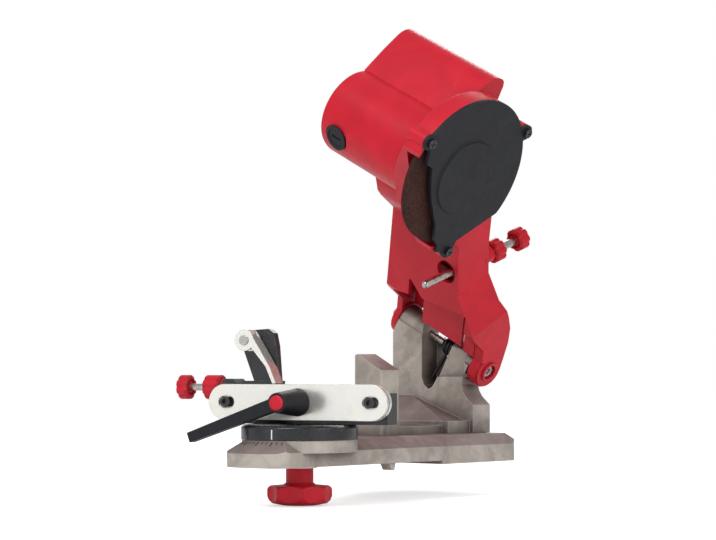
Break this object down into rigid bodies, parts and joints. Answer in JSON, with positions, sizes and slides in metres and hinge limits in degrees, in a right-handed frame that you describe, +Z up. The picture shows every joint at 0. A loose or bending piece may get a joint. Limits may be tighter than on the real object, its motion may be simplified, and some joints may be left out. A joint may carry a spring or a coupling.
{
  "type": "electric chainsaw sharpener",
  "caption": "Bench grinder for saw chain: a sprung tilting motor head with a guarded wheel swings down onto a turning chain vise on a cast base.",
  "frame": {"origin": "midway between the two bench bolt holes, on the plane of the rear pad that rests on the bench", "axes": "+Z up, square to the bench; +X from the chain vise to the yoke at the back; +Y away from the side that carries the wheel guard"},
  "size_m": [0.2805, 0.2148, 0.3356],
  "materials": {
    "cast_alloy": "satin",
    "red_plastic": "satin",
    "black_plastic": "satin",
    "black_metal": "satin",
    "zinc_plate": "satin",
    "steel": "satin",
    "spring_wire": "satin",
    "abrasive": "matte",
    "brass_part": "satin",
    "copper_part": "satin",
    "core_steel": "matte",
    "carbon": "matte"
  },
  "bodies": {
    "base": {"base_casting": "cast_alloy", "base_screws": "steel", "column_casting": "cast_alloy", "torsion_spring": "spring_wire"},
    "head": {"arm_housing": "red_plastic", "arm_screws": "steel", "depth_bush": "brass_part", "motor_housing": "red_plastic", "wheel_housing": "red_plastic", "housing_screws": "steel", "guard_cover": "black_plastic", "guard_screws": "black_metal", "front_bearing": "zinc_plate", "rear_bearing": "zinc_plate", "stator_core": "core_steel", "stator_coils": "copper_part", "brush_holders": "brass_part", "carbon_brushes": "carbon", "brush_caps": "black_plastic", "switch_body": "black_plastic", "cord_gland": "black_plastic", "pivot_pin": "steel", "pivot_nut": "steel", "spring_bush": "black_plastic"},
    "spindle": {"grinding_wheel": "abrasive", "inner_flange": "zinc_plate", "outer_flange": "zinc_plate", "spindle_nut": "steel", "rotor_shaft": "steel", "armature": "core_steel", "commutator": "copper_part", "cooling_fan": "black_plastic"},
    "vise": {"turntable": "black_metal", "turntable_stud": "steel", "vise_body": "black_metal", "body_screws": "steel", "rear_plate": "zinc_plate", "guide_screws": "black_metal", "clamp_stud": "steel", "clamp_nut": "steel"},
    "knob_washer": {"turntable_washer": "zinc_plate"},
    "big_knob": {"turntable_knob": "red_plastic"},
    "sliding_plate": {"front_plate": "zinc_plate"},
    "lever": {"clamp_lever": "black_plastic", "lever_cap": "red_plastic"},
    "carriage": {"stop_carriage": "black_metal", "pawl_pin": "steel", "stop_screw": "steel"},
    "carriage_knob": {"stop_knob": "red_plastic"},
    "carriage_lock": {"stop_lock_knob": "red_plastic"},
    "pawl_arm": {"pawl": "zinc_plate"},
    "depth_rod": {"depth_screw": "steel"},
    "depth_hand": {"depth_knob": "red_plastic"},
    "depth_lock": {"depth_lock_knob": "red_plastic"},
    "rocker": {"switch_rocker": "red_plastic"}
  },
  "joints": [
    {"name": "head_swing", "type": "hinge", "parent": "base", "child": "head", "pos_m": [0.07, -0.03005, 0.06617], "axis": [0, -0.8829, -0.4695], "range_deg": [0, 36.7], "stiffness_Nm_per_rad": 1.6, "springref_deg": -68.75, "deforming": ["torsion_spring"]},
    {"name": "wheel_spin", "type": "hinge", "parent": "head", "child": "spindle", "pos_m": [-0.064, -0.10296, 0.20329], "axis": [0, -0.8829, -0.4695], "continuous": true},
    {"name": "vise_turn", "type": "hinge", "parent": "base", "child": "vise", "pos_m": [-0.14, -0.0255, 0.025], "axis": [0, 0, 1], "range_deg": [-48, 22]},
    {"name": "knob_drop", "type": "slide", "parent": "vise", "child": "knob_washer", "axis": [0, 0, -1], "range_m": [0, 0.003]},
    {"name": "big_knob_turn", "type": "hinge", "parent": "knob_washer", "child": "big_knob", "pos_m": [-0.14, -0.0255, -0.012], "axis": [0, 0, -1], "range_deg": [0, 720.1]},
    {"name": "plate_close", "type": "slide", "parent": "vise", "child": "sliding_plate", "axis": [0.9744, 0.225, 0], "range_m": [0, 0.0005]},
    {"name": "lever_turn", "type": "hinge", "parent": "sliding_plate", "child": "lever", "pos_m": [-0.15462, -0.02887, 0.0455], "axis": [0.9744, 0.225, 0], "range_deg": [0, 75.01]},
    {"name": "carriage_feed", "type": "slide", "parent": "vise", "child": "carriage", "axis": [-0.225, 0.9744, 0], "range_m": [-0.006, 0.002]},
    {"name": "stop_knob_turn", "type": "hinge", "parent": "carriage", "child": "carriage_knob", "pos_m": [-0.14915, 0.07194, 0.0554], "axis": [-0.225, 0.9744, 0], "range_deg": [-2160.1, 720.1]},
    {"name": "stop_lock_turn", "type": "hinge", "parent": "vise", "child": "carriage_lock", "pos_m": [-0.14308, 0.04563, 0.0554], "axis": [-0.225, 0.9744, 0], "range_deg": [0, 90]},
    {"name": "pawl_lift", "type": "hinge", "parent": "carriage", "child": "pawl_arm", "pos_m": [-0.1475, 0.01587, 0.088], "axis": [-0.9744, -0.225, 0], "range_deg": [0, 30]},
    {"name": "depth_feed", "type": "slide", "parent": "head", "child": "depth_rod", "axis": [0.9078, -0.1969, 0.3704], "range_m": [0, 0.012]},
    {"name": "depth_knob_turn", "type": "hinge", "parent": "depth_rod", "child": "depth_hand", "pos_m": [0.07883, -0.05209, 0.16512], "axis": [0.9078, -0.1969, 0.3704], "range_deg": [0, 4320.1]},
    {"name": "depth_lock_turn", "type": "hinge", "parent": "head", "child": "depth_lock", "pos_m": [0.04887, -0.04559, 0.1529], "axis": [0.9078, -0.1969, 0.3704], "range_deg": [0, 90]},
    {"name": "switch_rock", "type": "hinge", "parent": "head", "child": "rocker", "pos_m": [-0.031, -0.06814, 0.2705], "axis": [0, -0.4695, 0.8829], "range_deg": [-6, 0]}
  ],
  "couplings": [
    {"joint": "big_knob_turn", "follows": "knob_drop", "rad_per_m": 4188.8},
    {"joint": "lever_turn", "follows": "plate_close", "rad_per_m": 2618},
    {"joint": "stop_knob_turn", "follows": "carriage_feed", "rad_per_m": 6283.2},
    {"joint": "depth_knob_turn", "follows": "depth_feed", "rad_per_m": 6283.2}
  ]
}
